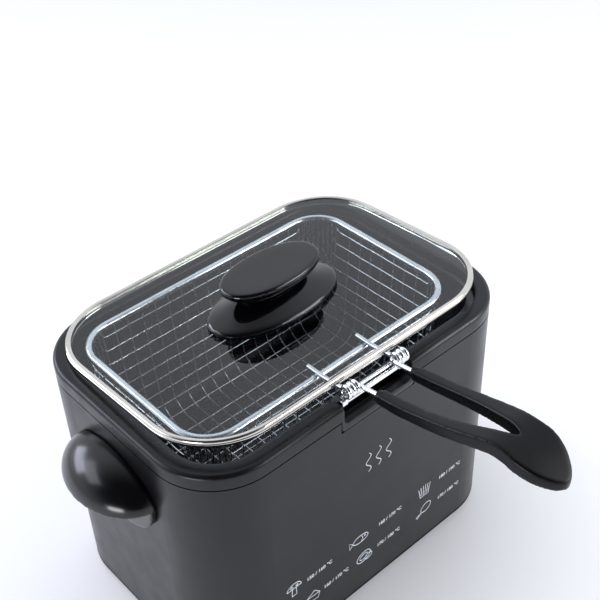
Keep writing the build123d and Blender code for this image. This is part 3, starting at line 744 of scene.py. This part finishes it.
def lettering(name, words, size, place):
    """Thin raised lettering on the body as a mesh piece, placed by a matrix."""
    curve = bpy.data.curves.new(name, "FONT")
    curve.body = words
    curve.size = size
    curve.align_x = "CENTER"
    curve.align_y = "CENTER"
    curve.extrude = 0.06 * MM
    curve.offset = 0.1 * MM
    curve.resolution_u = 4
    helper = bpy.data.objects.new(name + "_helper", curve)
    bpy.context.scene.collection.objects.link(helper)
    graph = bpy.context.evaluated_depsgraph_get()
    mesh = bpy.data.meshes.new_from_object(helper.evaluated_get(graph))
    bpy.data.objects.remove(helper)
    mesh.transform(place)
    mesh.name = name
    add_object(name, mesh, PRINT, "body")


facing_front = Matrix.Rotation(math.radians(90), 4, "X")
facing_right = Matrix.Rotation(math.radians(90), 4, "Z") @ facing_front
scale_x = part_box("dial_bezel")[1].x + 0.05 * MM
scale_r = 25.4 * MM
for index, value in enumerate((130, 150, 170, 190)):
    turn = math.radians(90 + 45 * index)
    spot = Vector((scale_x, math.cos(turn) * scale_r, dial_mid.z + math.sin(turn) * scale_r))
    lettering(f"dial_mark_{value}", str(value), 5 * MM, Matrix.Translation(spot) @ facing_right)


# ---------------------------------------------------------------- printed guide on the front
def oval(cx, cz, a, b, turn=0.0, start=0, end=360, steps=24):
    """Points of an ellipse or part of one, in mm."""
    c, s = math.cos(math.radians(turn)), math.sin(math.radians(turn))
    points = []
    for i in range(steps + 1):
        t = math.radians(start + (end - start) * i / steps)
        x, z = a * math.cos(t), b * math.sin(t)
        points.append((cx + x * c - z * s, cz + x * s + z * c))
    return points


# strokes of each picture, in mm about its own centre
ICONS = {
    "mushroom": [oval(0, 2, 6, 4.5, 0, 0, 180), [(-6, 2), (6, 2)],
                 [(-1.6, 2), (-2, -5), (2, -5), (1.6, 2)],
                 oval(-2, 4, 1, 0.7), oval(2.4, 3.6, 0.9, 0.6)],
    "wedge": [[(-6, -3.5), (5, -4.5), (6.5, 0), (-5, 1), (-6, -3.5)],
              [(-5, 1), (2, 5), (6.5, 0)]],
    "fish": [oval(1, 0, 7, 3.4), [(-6, 0), (-9.5, 3.2), (-9, -3.2), (-6, 0)],
             oval(5, 0.8, 0.5, 0.5), oval(1, 0, 2, 2.6, 0, -70, 70)],
    "rings": [oval(0, 0, 6.5, 4.6, 15), oval(0, 0, 3.8, 2.4, 15), oval(4.5, -2.5, 3.4, 2.4, 15)],
    "chips": [[(x, -5 + abs(x) * 0.3), (x * 1.5, 5 - abs(x) * 0.4)]
              for x in (-4, -2.4, -0.8, 0.8, 2.4, 4)] + [[(-5, -1), (-4, -6), (4, -6), (5, -1)]],
    "drumstick": [oval(1.5, 1, 5.2, 3.8, 25), [(-3, -1.6), (-6.4, -3.6)],
                  [(-2.6, -2.6), (-6, -4.6)], oval(-6.8, -4.3, 1.0, 1.0)],
}
# picture, its x and z, the temperatures beside it and their x
UPPER_ROW, LOWER_ROW = 59, 38
GUIDE = (("mushroom", -73, UPPER_ROW, "150 / 160 \u00b0C", -51),
         ("wedge", -58, LOWER_ROW, "160 / 170 \u00b0C", -36.5),
         ("fish", -15, UPPER_ROW, "160 / 170 \u00b0C", 14),
         ("rings", -11, LOWER_ROW, "170 / 180 \u00b0C", 13),
         ("chips", 48, UPPER_ROW, "180 / 190 \u00b0C", 74),
         ("drumstick", 49, LOWER_ROW, "170 / 180 \u00b0C", 74))
print_y = front_y - 0.02 * MM


def printed(strokes, x, z):
    """Wire paths of flat strokes in mm, set on the front face about a point in mm."""
    return [([((x + u) * MM, print_y, (z + v) * MM) for u, v in stroke], False)
            for stroke in strokes]


print_paths = []
for icon, icon_x, icon_z, words, words_x in GUIDE:
    print_paths += printed(ICONS[icon], icon_x, icon_z)
    place = Matrix.Translation(Vector((words_x * MM, print_y, icon_z * MM))) @ facing_front
    lettering(f"guide_{icon}", words, 4.3 * MM, place)
steam_wave = [(2.2 * math.sin(t * 0.42), t * 0.75) for t in range(23)]
for wave_x in (-7, 2, 11):
    print_paths += printed([steam_wave], wave_x, 119)
wires("front_print_lines", print_paths, 0.34 * MM, PRINT, "body", (), 1)

# ---------------------------------------------------------------- stage, camera and light
floor_span = 6
bpy.ops.mesh.primitive_plane_add(size=floor_span)
floor = bpy.context.object
floor.name = "floor"
floor_look = Look("floor", (0.90, 0.905, 0.925), 0.6)
floor_look.vary_roughness(floor_look.noise(8, 2), 0.5, 0.6)
floor.data.materials.append(floor_look.material)

camera_data = bpy.data.cameras.new("camera")
camera_data.lens = 63.85
camera_data.sensor_width = 36
camera_data.clip_start = 0.01
camera = bpy.data.objects.new("camera", camera_data)
bpy.context.scene.collection.objects.link(camera)
azimuth, elevation, roll = math.radians(-40.636), math.radians(38.497), math.radians(-2.486)
aim = Vector((19.18, -1.46, 191.9)) * MM
distance = 692.2  # mm, from the aim
back = Vector((math.sin(azimuth) * math.cos(elevation), -math.cos(azimuth) * math.cos(elevation),
               math.sin(elevation)))
right = (-back).cross(Vector((0, 0, 1))).normalized()
up = right.cross(-back)
axis_x = right * math.cos(roll) + up * math.sin(roll)
axis_y = up * math.cos(roll) - right * math.sin(roll)
position = aim + back * distance * MM
columns = (axis_x, axis_y, back, position)
camera.matrix_world = Matrix([[column[row] for column in columns] for row in range(3)]
                             + [[0, 0, 0, 1]])
bpy.context.scene.camera = camera


def softbox(name, center, target, width, height, power, color):
    """Rectangular area light aimed at a point."""
    data = bpy.data.lights.new(name, "AREA")
    data.shape = "RECTANGLE"
    data.size = width
    data.size_y = height
    data.energy = power
    data.color = color
    lamp = bpy.data.objects.new(name, data)
    bpy.context.scene.collection.objects.link(lamp)
    lamp.location = center
    lamp.rotation_euler = (Vector(target) - Vector(center)).to_track_quat("-Z", "Y").to_euler()


# name, centre, target, width, height, watts, colour
softbox("front_box", (0.75, -1.15, 0.62), (0, 0, 0.15), 0.9, 0.13, 8, (0.97, 0.98, 1))
softbox("left_box", (-0.62, 1.05, 0.62), (-0.13, 0, 0.12), 0.8, 0.4, 7, (0.80, 0.84, 1))
softbox("left_floor_box", (-0.60, 0.40, 0.62), (-0.36, 0.06, 0), 0.5, 0.3, 1.3, (0.86, 0.90, 1))
softbox("left_stand_box", (-1.05, -0.37, 0.09), (-0.15, 0, 0.14), 0.42, 0.18, 3.2, (0.95, 0.96, 1))
softbox("right_box", (0.80, -0.75, 0.80), (0.34, -0.20, 0), 0.6, 0.6, 4.5, (0.97, 0.98, 1))
sun_data = bpy.data.lights.new("sky_panel", "SUN")
sun_data.energy = 1.0
sun_data.angle = math.radians(50)
sun = bpy.data.objects.new("sky_panel", sun_data)
bpy.context.scene.collection.objects.link(sun)
sun.visible_glossy = False
sun.rotation_euler = Vector((0.35, -0.45, -1)).to_track_quat("-Z", "Y").to_euler()

# bright studio walls that fall away to dark on the photographer's side
world = bpy.data.worlds.new("studio")
bpy.context.scene.world = world
world.use_nodes = True
sky = world.node_tree
background = sky.nodes["Background"]
background.inputs["Strength"].default_value = 1.0
directions = sky.nodes.new("ShaderNodeTexCoord")
toward_front = sky.nodes.new("ShaderNodeVectorMath")
toward_front.operation = "DOT_PRODUCT"
toward_front.inputs[1].default_value = (-0.51, -0.59, 0.62)
sky.links.new(directions.outputs["Generated"], toward_front.inputs[0])
fade = sky.nodes.new("ShaderNodeMapRange")
fade.interpolation_type = "SMOOTHSTEP"
fade.inputs["From Min"].default_value = 0.85
fade.inputs["From Max"].default_value = 0.10
fade.inputs["To Min"].default_value = 0.0
fade.inputs["To Max"].default_value = 1.0
sky.links.new(toward_front.outputs["Value"], fade.inputs["Value"])
tint = sky.nodes.new("ShaderNodeMix")
tint.data_type = "RGBA"
tint.inputs["A"].default_value = (0.05, 0.05, 0.06, 1)
tint.inputs["B"].default_value = (1.05, 1.08, 1.17, 1)
sky.links.new(fade.outputs["Result"], tint.inputs["Factor"])
sky.links.new(tint.outputs["Result"], background.inputs["Color"])
bpy.context.scene.view_settings.view_transform = "Standard"
